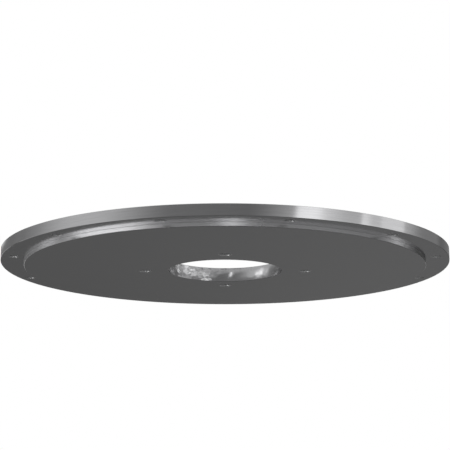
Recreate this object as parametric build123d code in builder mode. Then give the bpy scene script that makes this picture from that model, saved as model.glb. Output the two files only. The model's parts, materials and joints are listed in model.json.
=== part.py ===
from build123d import *
import os

# Bored blind flange: a turned cover plate with a register spigot, a central port and two bolt circles.
# Millimetres, +Z up. The origin is the centre of the spigot's face, which is the lowest face, so the
# plate stands as it sits on an opening, spigot down.

# Turned blank
OUTSIDE_D = 500.0         # rim
PLATE_T = 16.0            # stock thickness, from the spigot's face to the back face
SPIGOT_H = 4.0            # how far the register stands proud of the joint face
SPIGOT_D = 448.5          # centres with clearance in a 450 mm opening
PORT_D = 127.0            # through bore on the axis

# Outer bolt circle, clearance for M10, in the joint face outside the register
RIM_BOLTS = 12
RIM_BOLT_PCD = 474.0
RIM_HOLE_D = 11.0
RIM_BOLT_START = 15.0     # degrees from +X to the first hole, so the holes straddle both centre lines

# Inner bolt circle, clearance for M12, round the port
PORT_BOLTS = 4
PORT_BOLT_PCD = 180.0
PORT_HOLE_D = 13.5
PORT_BOLT_START = 0.0     # degrees from +X: these holes lie on the centre lines

# Edge finish
EDGE_BREAK = 0.3          # the crisp chamfer on every outer edge and at every mouth
ROOT_RADIUS = 0.2         # left by the tool's nose where the register meets the joint face

rim_r = OUTSIDE_D / 2
spigot_r = SPIGOT_D / 2
port_r = PORT_D / 2


def corner(sketch, radius, height):
    """The corner of the half section nearest to a radius and a height."""
    return sketch.vertices().sort_by_distance((radius, height, 0))[0]


with BuildPart() as flange_plate:
    # Half section through the axis: port wall, spigot face, register, joint face, rim, back face.
    with BuildSketch(Plane.XZ) as half_section:
        with BuildLine():
            Polyline(
                (port_r, 0),
                (spigot_r, 0),
                (spigot_r, SPIGOT_H),
                (rim_r, SPIGOT_H),
                (rim_r, PLATE_T),
                (port_r, PLATE_T),
                close=True,
            )
        make_face()
        fillet(corner(half_section, spigot_r, SPIGOT_H), ROOT_RADIUS)
        chamfer(corner(half_section, spigot_r, 0), EDGE_BREAK)
        for height in (SPIGOT_H, PLATE_T):
            chamfer(corner(half_section, rim_r, height), EDGE_BREAK)
        for height in (0, PLATE_T):
            chamfer(corner(half_section, port_r, height), EDGE_BREAK)
    revolve(axis=Axis.Z)

    # Both bolt circles are drilled right through.
    with PolarLocations(RIM_BOLT_PCD / 2, RIM_BOLTS, start_angle=RIM_BOLT_START):
        Hole(radius=RIM_HOLE_D / 2)
    with PolarLocations(PORT_BOLT_PCD / 2, PORT_BOLTS, start_angle=PORT_BOLT_START):
        Hole(radius=PORT_HOLE_D / 2)

    # Every drilled hole is broken with the same chamfer at both mouths.
    drilled_radii = (RIM_HOLE_D / 2, PORT_HOLE_D / 2)
    hole_mouths = flange_plate.edges().filter_by(GeomType.CIRCLE).filter_by(
        lambda edge: round(edge.radius, 3) in drilled_radii
    )
    chamfer(hole_mouths, EDGE_BREAK)

flange_plate.part.label = "flange_plate"

os.makedirs("parts", exist_ok=True)
export_step(flange_plate.part, "parts/flange_plate.step")
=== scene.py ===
import json
import math

import bpy
import numpy as np
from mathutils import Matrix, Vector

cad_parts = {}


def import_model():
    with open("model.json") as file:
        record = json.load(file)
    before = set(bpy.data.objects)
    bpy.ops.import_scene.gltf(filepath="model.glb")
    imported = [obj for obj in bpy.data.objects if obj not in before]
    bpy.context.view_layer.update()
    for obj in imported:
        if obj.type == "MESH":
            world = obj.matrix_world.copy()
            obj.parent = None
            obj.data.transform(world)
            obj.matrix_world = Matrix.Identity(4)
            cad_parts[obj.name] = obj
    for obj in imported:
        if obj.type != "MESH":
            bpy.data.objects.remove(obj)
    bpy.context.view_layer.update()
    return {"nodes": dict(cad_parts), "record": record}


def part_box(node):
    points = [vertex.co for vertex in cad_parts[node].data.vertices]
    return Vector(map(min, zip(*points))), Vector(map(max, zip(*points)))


# A bored blind flange, turned from steel plate, over a plain pale floor. Everything is in metres, +Z up, in
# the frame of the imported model: the spigot's face is at z = 0 and the back face is the highest.

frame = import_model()


# ---------------------------------------------------------------- dimensions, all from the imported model

def mount(name):
    """The record's mount of that name."""
    return next(m for m in frame["record"]["mounts"] if m["name"] == name)


def radius_of(name):
    """The radius of a round mount, in metres."""
    return mount(name)["dims"]["r_mm"] / 1000


plate = frame["nodes"]["flange_plate"]
plate_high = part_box("flange_plate")[1]
outside_r = plate_high.x
back_z = plate_high.z
joint_z = mount("rim_bolts")["pos_m"][2]
register_r = radius_of("register")
port_r = radius_of("port")


# ---------------------------------------------------------------- node helpers

def new_material(name):
    """An empty node material with its Principled BSDF and its output."""
    material = bpy.data.materials.new(name)
    material.use_nodes = True
    tree = material.node_tree
    tree.nodes.clear()
    output = tree.nodes.new("ShaderNodeOutputMaterial")
    shader = tree.nodes.new("ShaderNodeBsdfPrincipled")
    tree.links.new(shader.outputs["BSDF"], output.inputs["Surface"])
    return material, tree, shader


def feed(tree, value, socket):
    """Links a socket to another one, or gives it a number."""
    if isinstance(value, bpy.types.NodeSocket):
        tree.links.new(value, socket)
    else:
        socket.default_value = value


def math_node(tree, operation, *values):
    """A Math node on sockets or numbers; returns its output."""
    node = tree.nodes.new("ShaderNodeMath")
    node.operation = operation
    for socket, value in zip(node.inputs, values):
        feed(tree, value, socket)
    return node.outputs[0]


def product(tree, first, *others):
    """The product of two or more sockets or numbers."""
    for other in others:
        first = math_node(tree, "MULTIPLY", first, other)
    return first


def raised(tree, base, *steps):
    """A base with each of the steps added to it, a step being a mask and what it adds where the mask is 1."""
    for mask, amount in steps:
        base = math_node(tree, "ADD", base, product(tree, mask, amount))
    return base


def ramp(tree, value, low, high):
    """A smooth rise from 0 where value is low to 1 where it is high."""
    node = tree.nodes.new("ShaderNodeMapRange")
    node.interpolation_type = "SMOOTHSTEP"
    node.inputs["From Min"].default_value = low
    node.inputs["From Max"].default_value = high
    tree.links.new(value, node.inputs["Value"])
    return node.outputs["Result"]


def vector_node(tree, operation, vector):
    """A Vector Math node on one vector socket."""
    node = tree.nodes.new("ShaderNodeVectorMath")
    node.operation = operation
    tree.links.new(vector, node.inputs[0])
    return node


def split_vector(tree, vector):
    """The x, y and z of a vector socket."""
    split = tree.nodes.new("ShaderNodeSeparateXYZ")
    tree.links.new(vector, split.inputs[0])
    return split.outputs


def object_place(tree):
    """The Texture Coordinate node's Object vector, then its x, y and z."""
    place = tree.nodes.new("ShaderNodeTexCoord").outputs["Object"]
    x, y, z = split_vector(tree, place)
    return place, x, y, z


def azimuth_of(tree, x, y):
    """Degrees round the axis, from -Y towards +X."""
    turn = math_node(tree, "ARCTAN2", x, product(tree, y, -1))
    return math_node(tree, "DEGREES", turn)


def make_matte(tree, shader, tone):
    """Makes a shader plain matte, in a grey given as a number or a socket."""
    if isinstance(tone, bpy.types.NodeSocket):
        grey = tree.nodes.new("ShaderNodeCombineColor")
        for channel in grey.inputs:
            tree.links.new(tone, channel)
        tree.links.new(grey.outputs[0], shader.inputs["Base Color"])
    else:
        shader.inputs["Base Color"].default_value = (tone, tone, tone, 1)
    shader.inputs["Roughness"].default_value = 1
    shader.inputs["Specular IOR Level"].default_value = 0


def make_lit(tree, shader, level):
    """Makes a shader give off white light and return none, at a level given as a number or a socket."""
    shader.inputs["Base Color"].default_value = (0, 0, 0, 1)
    shader.inputs["Specular IOR Level"].default_value = 0
    shader.inputs["Emission Color"].default_value = (1, 1, 1, 1)
    feed(tree, level, shader.inputs["Emission Strength"])


# ---------------------------------------------------------------- finish of the plate

STEEL_COLOUR = (0.30, 0.30, 0.305)

# where one kind of surface ends and the next begins
WALL_UNTIL = 0.75          # a surface is a wall where its normal's upright part is under this
FACE_FROM = 0.95           # and a face where it is over this
WALL_BAND = 0.002          # metres from a diameter or a height within which a surface belongs to it
STEP_BAND = 0.0009         # the same for the register's wall
STEP_BAND_END = 0.0016     # and where nothing belongs to it any more
JOINT_BAND = 0.001         # the same for the joint face

# tool marks, in metres
FACE_PITCH = 0.0016        # between marks on the faces
WALL_PITCH = 0.0011        # on the upright walls
BACK_PITCH = 0.0045        # on the back face, which is faced off more coarsely
FACE_MARK_DEPTH = 0.0000012
WALL_MARK_DEPTH = 0.0000020
BACK_MARK_DEPTH = 0.0000060
MARK_BREAKS = 9            # how often the marks break round the plate
BACK_BREAKS = 3            # and on the back face
MARK_DETAIL = 3
MARK_FINENESS = 0.6

# the port and the drilled holes: their walls are straight in the solid, and these are shading only
PORT_CROWN = 0.00040       # how far the port's wall closes in at its two ends
PORT_RIPPLE = 0.00040      # how deep its chatter is
CHATTER_SCALE = 140
CHATTER_DETAIL = 1
CHATTER_VARIANT = 8.7      # which chatter
CHATTER_FULL_X = -0.015    # the chatter is at its deepest from here towards -X
CHATTER_FADE_X = 0.005     # and at its faintest from here towards +X
CHATTER_LEAST = 0.3        # how deep it still is there
BELL_WIDTH = 0.00047       # how far a drilled hole opens out at its lower mouth
BELL_DEPTH = 0.0035        # and how far up that reaches

STAIN_SCALE = 14
STAIN_DETAIL = 4

# what each mask adds to the steel's tone, which is 1
STAIN_TONE = 0.06
RIM_LINE_TONE = 0.27
FACE_LINE_TONE = 0.05
BACK_LINE_TONE = 0.22
HOLE_TONE = -0.34          # the drilled walls are dull and darker

# and to its roughness
ROUGHNESS = 0.13
STAIN_ROUGHNESS = 0.08
JOINT_ROUGHNESS = 0.03
RIM_ROUGHNESS = -0.04
STEP_ROUGHNESS = 0.155
HOLE_ROUGHNESS = 0.05
BACK_ROUGHNESS = 0.10
BACK_LINE_ROUGHNESS = 0.10

HOLE_METAL = -0.82         # most of a drilled wall is not bare metal


def tool_marks():
    """Lines that a lathe's tool leaves: noise that is fine across the cut and long around it, about 0."""
    group = bpy.data.node_groups.new("tool_marks", "ShaderNodeTree")
    group.interface.new_socket("Around", in_out="INPUT", socket_type="NodeSocketVector")
    group.interface.new_socket("Across", in_out="INPUT", socket_type="NodeSocketFloat")
    group.interface.new_socket("Pitch", in_out="INPUT", socket_type="NodeSocketFloat")
    group.interface.new_socket("Marks", in_out="OUTPUT", socket_type="NodeSocketFloat")
    given = group.nodes.new("NodeGroupInput")
    result = group.nodes.new("NodeGroupOutput")
    x, y, _ = split_vector(group, given.outputs["Around"])
    lines = math_node(group, "DIVIDE", given.outputs["Across"], given.outputs["Pitch"])
    place = group.nodes.new("ShaderNodeCombineXYZ")
    for axis, value in zip("XYZ", (x, y, lines)):
        group.links.new(value, place.inputs[axis])
    noise = group.nodes.new("ShaderNodeTexNoise")
    noise.inputs["Scale"].default_value = 1
    noise.inputs["Detail"].default_value = MARK_DETAIL
    noise.inputs["Roughness"].default_value = MARK_FINENESS
    group.links.new(place.outputs[0], noise.inputs["Vector"])
    group.links.new(math_node(group, "SUBTRACT", noise.outputs["Fac"], 0.5), result.inputs["Marks"])
    return group


def marks_along(tree, marks, around, across, pitch, breaks):
    """Tool marks a pitch apart along across, breaking up as they go around."""
    spread = vector_node(tree, "SCALE", around)
    spread.inputs["Scale"].default_value = breaks
    node = tree.nodes.new("ShaderNodeGroup")
    node.node_tree = marks
    node.inputs["Pitch"].default_value = pitch
    tree.links.new(spread.outputs[0], node.inputs["Around"])
    tree.links.new(across, node.inputs["Across"])
    return node.outputs["Marks"]


def blotches(tree, place, scale, detail, variant=0):
    """Soft noise about 0."""
    node = tree.nodes.new("ShaderNodeTexNoise")
    node.noise_dimensions = "4D"
    node.inputs["W"].default_value = variant
    node.inputs["Scale"].default_value = scale
    node.inputs["Detail"].default_value = detail
    tree.links.new(place, node.inputs["Vector"])
    return math_node(tree, "SUBTRACT", node.outputs["Fac"], 0.5)


def kinds_of_surface(tree, r, z):
    """Masks that tell the plate's surfaces apart by how they face, their radius r and their height z."""
    normal = tree.nodes.new("ShaderNodeTexCoord").outputs["Normal"]
    upright = math_node(tree, "ABSOLUTE", split_vector(tree, normal)[2])
    face = ramp(tree, upright, WALL_UNTIL, FACE_FROM)
    wall = math_node(tree, "SUBTRACT", 1, face)
    port = product(tree, wall, ramp(tree, r, port_r + 2 * WALL_BAND, port_r + WALL_BAND))
    rim = product(tree, wall, ramp(tree, r, outside_r - 2 * WALL_BAND, outside_r - WALL_BAND))
    from_register = math_node(tree, "ABSOLUTE", math_node(tree, "SUBTRACT", r, register_r))
    step = product(tree, wall, ramp(tree, from_register, STEP_BAND_END, STEP_BAND))
    turned_wall = math_node(tree, "MAXIMUM", port, math_node(tree, "MAXIMUM", rim, step))
    hole = math_node(tree, "SUBTRACT", wall, turned_wall)
    outside_register = ramp(tree, r, register_r, register_r + JOINT_BAND)
    at_joint_z = ramp(tree, z, joint_z + 2 * JOINT_BAND, joint_z + JOINT_BAND)
    joint = product(tree, face, outside_register, at_joint_z)
    back = product(tree, face, ramp(tree, z, back_z - 2 * WALL_BAND, back_z - WALL_BAND))
    return face, wall, port, rim, step, hole, joint, back


def port_relief(tree, place, x, z):
    """The port's crown, which grows with the square of the height from its middle, and its chatter."""
    from_middle = math_node(tree, "DIVIDE", math_node(tree, "SUBTRACT", z, back_z / 2), back_z / 2)
    crown = product(tree, from_middle, from_middle, PORT_CROWN)
    ripples = blotches(tree, place, CHATTER_SCALE, CHATTER_DETAIL, CHATTER_VARIANT)
    depth = math_node(tree, "ADD", ramp(tree, x, CHATTER_FADE_X, CHATTER_FULL_X), CHATTER_LEAST)
    return raised(tree, crown, (product(tree, ripples, depth), PORT_RIPPLE))


def bell_relief(tree, r, z):
    """How a drilled hole opens out: with the square of what is left of BELL_DEPTH above its lower mouth."""
    mouth_z = product(tree, ramp(tree, r, register_r - JOINT_BAND, register_r), joint_z)
    inwards = math_node(tree, "DIVIDE", math_node(tree, "SUBTRACT", z, mouth_z), BELL_DEPTH)
    open_part = math_node(tree, "MAXIMUM", math_node(tree, "SUBTRACT", 1, inwards), 0)
    return product(tree, open_part, open_part, -BELL_WIDTH)


def turned_steel():
    """One piece of steel with its kinds of surface: turned faces and walls, the joint face, the coarser back
    face, the port with its chatter and the dull drilled holes."""
    material, tree, shader = new_material("turned_steel")
    place, x, y, z = object_place(tree)
    flat = tree.nodes.new("ShaderNodeCombineXYZ")
    tree.links.new(x, flat.inputs["X"])
    tree.links.new(y, flat.inputs["Y"])
    r = vector_node(tree, "LENGTH", flat.outputs[0]).outputs["Value"]
    around = vector_node(tree, "NORMALIZE", flat.outputs[0]).outputs[0]
    face, wall, port, rim, step, hole, joint, back = kinds_of_surface(tree, r, z)

    marks = tool_marks()
    face_marks = marks_along(tree, marks, around, r, FACE_PITCH, MARK_BREAKS)
    back_marks = product(tree, marks_along(tree, marks, around, r, BACK_PITCH, BACK_BREAKS), back)
    wall_marks = marks_along(tree, marks, around, z, WALL_PITCH, MARK_BREAKS)
    face_lines = product(tree, face_marks, face)
    stains = blotches(tree, place, STAIN_SCALE, STAIN_DETAIL)

    height = raised(tree, product(tree, face_lines, FACE_MARK_DEPTH),
                    (product(tree, wall_marks, wall), WALL_MARK_DEPTH),
                    (back_marks, BACK_MARK_DEPTH),
                    (port, port_relief(tree, place, x, z)),
                    (hole, bell_relief(tree, r, z)))
    bump = tree.nodes.new("ShaderNodeBump")
    bump.inputs["Strength"].default_value = 1
    bump.inputs["Distance"].default_value = 1
    tree.links.new(height, bump.inputs["Height"])
    tree.links.new(bump.outputs["Normal"], shader.inputs["Normal"])

    tone = raised(tree, 1, (stains, STAIN_TONE), (product(tree, wall_marks, rim), RIM_LINE_TONE),
                  (face_lines, FACE_LINE_TONE), (back_marks, BACK_LINE_TONE), (hole, HOLE_TONE))
    colour = tree.nodes.new("ShaderNodeVectorMath")
    colour.operation = "SCALE"
    colour.inputs[0].default_value = STEEL_COLOUR
    tree.links.new(tone, colour.inputs["Scale"])
    tree.links.new(colour.outputs[0], shader.inputs["Base Color"])

    rough = raised(tree, ROUGHNESS, (stains, STAIN_ROUGHNESS), (joint, JOINT_ROUGHNESS), (rim, RIM_ROUGHNESS),
                   (step, STEP_ROUGHNESS), (hole, HOLE_ROUGHNESS), (back, BACK_ROUGHNESS),
                   (back_marks, BACK_LINE_ROUGHNESS))
    tree.links.new(rough, shader.inputs["Roughness"])
    tree.links.new(raised(tree, 1, (hole, HOLE_METAL)), shader.inputs["Metallic"])
    return material


plate.material_slots[0].material = turned_steel()


# ---------------------------------------------------------------- studio

FLOOR_DROP = 1.35          # the floor's depth below the plate, in outside radii
FLOOR_REACH = 80           # how far the floor goes, in outside radii
FLOOR_TONE = 0.78          # under the plate
FAR_TONE = 0.97            # and far from it
PALER_FROM = 2             # where the floor starts to turn paler, in outside radii from its middle
PALER_UNTIL = 24           # and where it is at its palest
floor_z = -FLOOR_DROP * outside_r

CARD_TONE = 0.190          # the dark card that the lower faces mirror
CARD_SHARE = 0.90          # the share of that tone at its left, near side
CARD_PAINTED_LIGHT = 0.21        # painted light: what is added to the share at its right, as if more light fell there
PAINTED_LIGHT_ACROSS = 0.6       # metres to each side between which that painted light grows
CARD_PAINTED_FALLOFF = 0.18         # painted falloff of light: what is taken from the share behind the plate, as if less light reached it
PAINTED_FALLOFF_FROM = 0.9          # metres behind the axis where that painted falloff starts
PAINTED_FALLOFF_UNTIL = 2.3         # and where it is full
CARD_NEAR = 1.8            # outside radii from the axis to the sides of the card under the plate
CARD_FRONT = 2             # and to the front of the card at its right
CARD_LIFT = 0.004          # metres over the floor
SCREEN_LIFT = 0.006        # the low screen's foot, over the floor

SIDE_CARD_TONE = 0.13
SIDE_CARD_LEFT = 1.36      # its place, in outside radii
SIDE_CARD_RIGHT = 2.4
SIDE_CARD_BACK = 1.4
SIDE_CARD_LOW = -0.26      # and its heights
SIDE_CARD_HIGH = -0.01

PORT_CARD_R = 1.4 * outside_r
PORT_CARD_EDGE = 0.95      # where a port card's light ends, in half widths from its middle
PORT_CARD_FULL = 0.15      # and where it is full
PORT_CARD_FADE = 0.3       # the share of its height over which each end fades

SCREEN_STEPS = 96          # flat strips in a bent screen
SCREEN_MIDDLE = 0.48       # the height at which a patch's azimuths hold, where it leans


def stage_sheet(name, corners, faces, material):
    """A sheet of the studio, no part of the object."""
    mesh = bpy.data.meshes.new(name)
    mesh.from_pydata(corners, [], faces)
    mesh.materials.append(material)
    sheet = bpy.data.objects.new(name, mesh)
    bpy.context.scene.collection.objects.link(sheet)
    return sheet


def only_mirrored(sheet):
    """A photographer's card: the steel mirrors it, and the floor and the camera never see it."""
    sheet.visible_camera = False
    sheet.visible_diffuse = False
    sheet.visible_shadow = False


def level_sheet(name, left, right, near, far, z, material):
    """A flat rectangle at a height."""
    corners = [(left, near, z), (right, near, z), (right, far, z), (left, far, z)]
    return stage_sheet(name, corners, [(0, 1, 2, 3)], material)


def bent_sheet(name, radius, turns, heights, material):
    """A sheet bent round the plate's axis: x = radius sin(turn), y = -radius cos(turn) and z = height, where
    turns has a row of azimuths in degrees for each height."""
    turn = np.radians(turns)
    z = np.broadcast_to(np.reshape(heights, (-1, 1)), turn.shape)
    corners = np.stack((radius * np.sin(turn), -radius * np.cos(turn), z), axis=-1).reshape(-1, 3)
    index = np.arange(turn.size).reshape(turn.shape)
    faces = np.stack((index[:-1, :-1], index[:-1, 1:], index[1:, 1:], index[1:, :-1]), axis=-1).reshape(-1, 4)
    return stage_sheet(name, corners.tolist(), faces.tolist(), material)


def floor():
    """A plain floor, pale under the plate and nearly white in the distance."""
    half = FLOOR_REACH * outside_r
    material, tree, shader = new_material("pale_floor")
    place = tree.nodes.new("ShaderNodeTexCoord").outputs["Object"]
    away = vector_node(tree, "LENGTH", place).outputs["Value"]
    paler = ramp(tree, away, PALER_FROM * outside_r, PALER_UNTIL * outside_r)
    make_matte(tree, shader, raised(tree, FLOOR_TONE, (paler, FAR_TONE - FLOOR_TONE)))
    level_sheet("floor", -half, half, -half, half, floor_z, material)


def dark_card():
    """A dark card just over the floor, under, behind and to the right of the plate, where its lower faces
    look. Its tone carries painted light: a little lighter to the right and darker with distance, as light
    falls."""
    material, tree, shader = new_material("dark_card")
    _, x, y, _ = object_place(tree)
    # painted light and falloff: the card is lighter to the right and darker farther behind, standing in for
    # how light falls on it
    painted_light_right = ramp(tree, x, -PAINTED_LIGHT_ACROSS, PAINTED_LIGHT_ACROSS)
    painted_falloff_behind = ramp(tree, y, PAINTED_FALLOFF_FROM, PAINTED_FALLOFF_UNTIL)
    share = raised(tree, CARD_SHARE, (painted_light_right, CARD_PAINTED_LIGHT), (painted_falloff_behind, -CARD_PAINTED_FALLOFF))
    make_matte(tree, shader, product(tree, share, CARD_TONE))
    far = FLOOR_REACH * outside_r
    near = CARD_NEAR * outside_r
    front = -CARD_FRONT * outside_r
    z = floor_z + CARD_LIFT
    only_mirrored(level_sheet("back_card", -far, far, near, far, z, material))
    only_mirrored(level_sheet("right_card", near, far, front, near, z, material))
    only_mirrored(level_sheet("under_card", -near, near, -near, near, z, material))


def side_card():
    """A small black card behind the plate's right side, where the spigot's wall turns away."""
    material, tree, shader = new_material("black_card")
    make_matte(tree, shader, SIDE_CARD_TONE)
    left = SIDE_CARD_LEFT * outside_r
    right = SIDE_CARD_RIGHT * outside_r
    y = SIDE_CARD_BACK * outside_r
    corners = [(left, y, SIDE_CARD_LOW), (right, y, SIDE_CARD_LOW), (right, y, SIDE_CARD_HIGH),
               (left, y, SIDE_CARD_HIGH)]
    only_mirrored(stage_sheet("side_card", corners, [(0, 1, 2, 3)], material))


def lit_patch(tree, azimuth, height, patch):
    """A softly edged patch of light: the azimuths between which it rises and falls, start, full from, full to
    and end, then its level, and last the heights between which it is fully lit, or None for all heights."""
    start, full_from, full_to, end, level, band = patch
    light = product(tree, ramp(tree, azimuth, start, full_from), ramp(tree, azimuth, end, full_to), level)
    if band:
        low, high = band
        soft = (high - low) / 2
        from_below = ramp(tree, height, low - soft, low)
        from_above = ramp(tree, height, high + soft, high)
        light = product(tree, light, from_below, from_above)
    return light


def screen(name, radius, low, high, sweep, level, patches, foot=None, leaning=0):
    """An evenly lit screen bent round the plate's front, from -sweep to +sweep degrees of azimuth, with
    brighter patches. foot is how the even level grows towards the screen's foot: the height where nothing is
    added, the height where all is, and how much. leaning is how many degrees of azimuth a patch leans in each
    metre of height."""
    material, tree, shader = new_material(name)
    _, x, y, height = object_place(tree)
    lean = product(tree, math_node(tree, "SUBTRACT", height, SCREEN_MIDDLE), leaning)
    azimuth = math_node(tree, "SUBTRACT", azimuth_of(tree, x, y), lean)
    total = level
    if foot:
        none_at, full_at, more = foot
        total = raised(tree, total, (ramp(tree, height, none_at, full_at), more))
    for patch in patches:
        total = math_node(tree, "ADD", total, lit_patch(tree, azimuth, height, patch))
    make_lit(tree, shader, total)
    turns = np.linspace(-sweep, sweep, SCREEN_STEPS + 1)
    only_mirrored(bent_sheet(name, radius, [turns, turns], (low, high), material))


def port_card(name, low_end, high_end, half_width, level):
    """A small leaning lit card close to the plate, for the port to mirror, soft at its edges. An end is its
    azimuth in degrees and its height."""
    (low_turn, low), (high_turn, high) = low_end, high_end
    material, tree, shader = new_material(name)
    _, x, y, height = object_place(tree)
    lean = product(tree, math_node(tree, "SUBTRACT", height, low), (high_turn - low_turn) / (high - low))
    from_low = math_node(tree, "SUBTRACT", azimuth_of(tree, x, y), low_turn)
    from_middle = math_node(tree, "ABSOLUTE", math_node(tree, "SUBTRACT", from_low, lean))
    across = ramp(tree, from_middle, PORT_CARD_EDGE * half_width, PORT_CARD_FULL * half_width)
    fade = PORT_CARD_FADE * (high - low)
    upwards = product(tree, ramp(tree, height, low, low + fade), ramp(tree, height, high, high - fade))
    tree.links.new(product(tree, across, upwards), shader.inputs["Alpha"])
    make_lit(tree, shader, level)
    turns = [(turn - half_width, turn + half_width) for turn in (low_turn, high_turn)]
    only_mirrored(bent_sheet(name, PORT_CARD_R, turns, (low, high), material))


def world():
    """Plain white light from all round."""
    sky = bpy.data.worlds.new("white_studio")
    sky.use_nodes = True
    background = sky.node_tree.nodes["Background"]
    background.inputs["Color"].default_value = (1, 1, 1, 1)
    background.inputs["Strength"].default_value = 1
    bpy.context.scene.world = sky


# ---------------------------------------------------------------- camera

VIEW_BACK = 5.516          # camera in front of the axis, in outside radii
VIEW_BELOW = 1.0763        # camera below the spigot's face, in outside radii
VIEW_PITCH = 13.163        # degrees above the horizon
LENS = 99.52               # mm
SENSOR = 36                # mm


def camera():
    """The camera, in front of the plate and below it, looking up."""
    data = bpy.data.cameras.new("camera")
    data.lens = LENS
    data.sensor_width = SENSOR
    holder = bpy.data.objects.new("camera", data)
    holder.location = (0, -VIEW_BACK * outside_r, -VIEW_BELOW * outside_r)
    holder.rotation_euler = (math.radians(90 + VIEW_PITCH), 0, 0)
    bpy.context.scene.collection.objects.link(holder)
    bpy.context.scene.camera = holder


# ---------------------------------------------------------------- the set

# Patches as lit_patch() says. The rim mirrors the front screen at a height of about half a metre, and the
# register's wall mirrors the low screen by way of the joint face.
RIM_HEIGHTS = (0.42, 0.54)
RIM_HEIGHTS_LEFT = (0.36, 0.62)
FRONT_PATCHES = [
    (-165, -72, -68, 30, 0.24, None),
    (-118, -73, -66, -23, 0.80, RIM_HEIGHTS_LEFT),
    (-130, -118, -112, -98, 0.06, None),
    (-50, 15, 20, 60, 0.10, None),
    (8, 45, 88, 116, 0.80, (0.42, 0.56)),
    (30, 33, 42, 46.5, 0.46, (0.43, 0.55)),
    (30, 33, 37, 61, 0.97, (0.43, 0.55)),
    (65, 66, 67, 73, 0.60, RIM_HEIGHTS),
    (65, 66, 93, 94.5, 0.30, RIM_HEIGHTS),
    (77, 78, 93, 94.5, 0.34, RIM_HEIGHTS),
    (104, 116, 124, 134, 0.18, RIM_HEIGHTS),
    (8, 45, 85, 128, 0.21, (0.10, 1.20)),
    (16, 20, 34, 40, 2.3, (0.90, 1.04)),
    (60, 70, 100, 120, 0.5, (0.76, 1.00)),
    (92, 95, 99, 103, 1.6, (0.15, 0.36)),
    (-152, -144, -134, -128, 6.0, (0.80, 0.92)),
    (100, 112, 140, 155, 0.7, (0.15, 0.26)),
    (100, 112, 140, 155, 0.7, (0.74, 0.88)),
]
LOW_PATCHES = [
    (-152, -118, 104, 126, 0.76, None),
    (-92, -73, -52, -30, 6.6, None),
    (-115, -109, -104, -98, 2.6, None),
    (-60, -40, -12, 4, 0.24, None),
    (0.5, 2, 5, 6.5, 11.5, None),
    (28, 36, 78, 86, 0.27, None),
    (98.5, 100, 103, 105, 6.4, None),
]

floor()
dark_card()
side_card()
screen("front_screen", radius=2.3, low=-0.25, high=1.25, sweep=158, level=0.227, patches=FRONT_PATCHES,
       foot=(0.46, 0.10, 0.8), leaning=30)
screen("low_screen", radius=1.3, low=floor_z + SCREEN_LIFT, high=-0.12, sweep=150, level=0.2,
       patches=LOW_PATCHES)

# each card's two ends, half its width in degrees, and its level
port_card("port_card_a", (-91, 0.056), (-85, 0.112), 9, 3.2)
port_card("port_card_b", (-80, 0.068), (-76, 0.116), 8, 3.1)
port_card("port_card_g", (-107, 0.050), (-101, 0.115), 11, 1.5)
port_card("port_card_c", (-17, 0.047), (-10, 0.115), 4, 3.6)
port_card("port_card_d", (86, 0.060), (78, 0.085), 8, 3.5)
port_card("port_card_e", (66, 0.098), (60, 0.114), 6, 2.8)
port_card("port_card_f", (125, 0.064), (117, 0.092), 7, 3.2)
world()
camera()

bpy.context.scene.view_settings.view_transform = "Standard"
